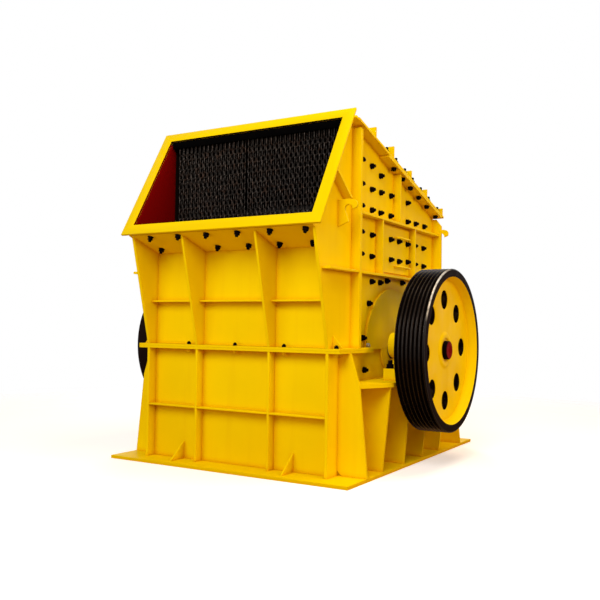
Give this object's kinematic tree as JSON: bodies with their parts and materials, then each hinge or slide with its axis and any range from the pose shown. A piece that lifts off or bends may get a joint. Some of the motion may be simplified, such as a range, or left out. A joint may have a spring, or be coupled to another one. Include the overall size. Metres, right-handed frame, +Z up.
{
  "type": "impact crusher",
  "caption": "Stationary impact crusher: ribbed plate housing, chain-curtained feed mouth, sloping bolted roof, rotor on outboard bearings with a grooved drive pulley and a flywheel.",
  "frame": {"origin": "on the ground at the centre of the bounding box's bottom; X = 0 is the middle of the housing", "axes": "+X along the rotor towards the drive pulley, +Y from the feed mouth to the rear, +Z up"},
  "size_m": [2.456, 2.407, 2.391],
  "materials": {
    "yellow_paint": "glossy machine enamel",
    "red_paint": "dark red primer on wear plates",
    "black_paint": "gloss black paint",
    "dark_steel": "bare dark steel",
    "chain_steel": "blackened chain"
  },
  "bodies": {
    "housing": {"base_flange": "yellow_paint", "lower_front_panel": "yellow_paint", "lower_rear_panel": "yellow_paint", "lower_side_left": "yellow_paint", "lower_side_right": "yellow_paint", "bearing_pedestal_left": "yellow_paint", "bearing_pedestal_right": "yellow_paint", "lower_flange_front": "yellow_paint", "lower_flange_rear": "yellow_paint", "upper_flange_front": "yellow_paint", "upper_flange_rear": "yellow_paint", "upper_front_panel": "yellow_paint", "hopper_side_left": "yellow_paint", "hopper_side_right": "yellow_paint", "rear_side_left": "yellow_paint", "rear_side_right": "yellow_paint", "rear_panel": "yellow_paint", "roof_front": "yellow_paint", "roof_lid": "yellow_paint", "roof_flange_left": "yellow_paint", "roof_flange_right": "yellow_paint", "mouth_frame": "yellow_paint", "chute_floor": "yellow_paint", "floor_liner": "red_paint", "side_liner_left": "red_paint", "side_liner_right": "red_paint", "chain_bar": "dark_steel", "chain_curtain": "chain_steel", "inspection_cover_left": "yellow_paint", "inspection_cover_right": "yellow_paint", "impact_apron_front": "dark_steel", "impact_apron_rear": "dark_steel", "shaft_cover_upper_left": "yellow_paint", "shaft_cover_upper_right": "yellow_paint", "shaft_cover_lower_left": "yellow_paint", "shaft_cover_lower_right": "yellow_paint", "bearing_base_left": "yellow_paint", "bearing_base_right": "yellow_paint", "bearing_cap_left": "yellow_paint", "bearing_cap_right": "yellow_paint"},
    "rotor": {"rotor_shaft": "dark_steel", "rotor_core": "dark_steel", "rotor_disc_1": "dark_steel", "rotor_disc_2": "dark_steel", "rotor_disc_3": "dark_steel", "rotor_disc_4": "dark_steel", "blow_bar_1": "dark_steel", "blow_bar_2": "dark_steel", "blow_bar_3": "dark_steel", "blow_bar_4": "dark_steel", "drive_pulley": "black_paint", "flywheel": "black_paint"}
  },
  "joints": [
    {"name": "rotor_spin", "type": "hinge", "parent": "housing", "child": "rotor", "pos_m": [0, -0.0355, 0.81], "axis": [1, 0, 0], "continuous": true}
  ]
}
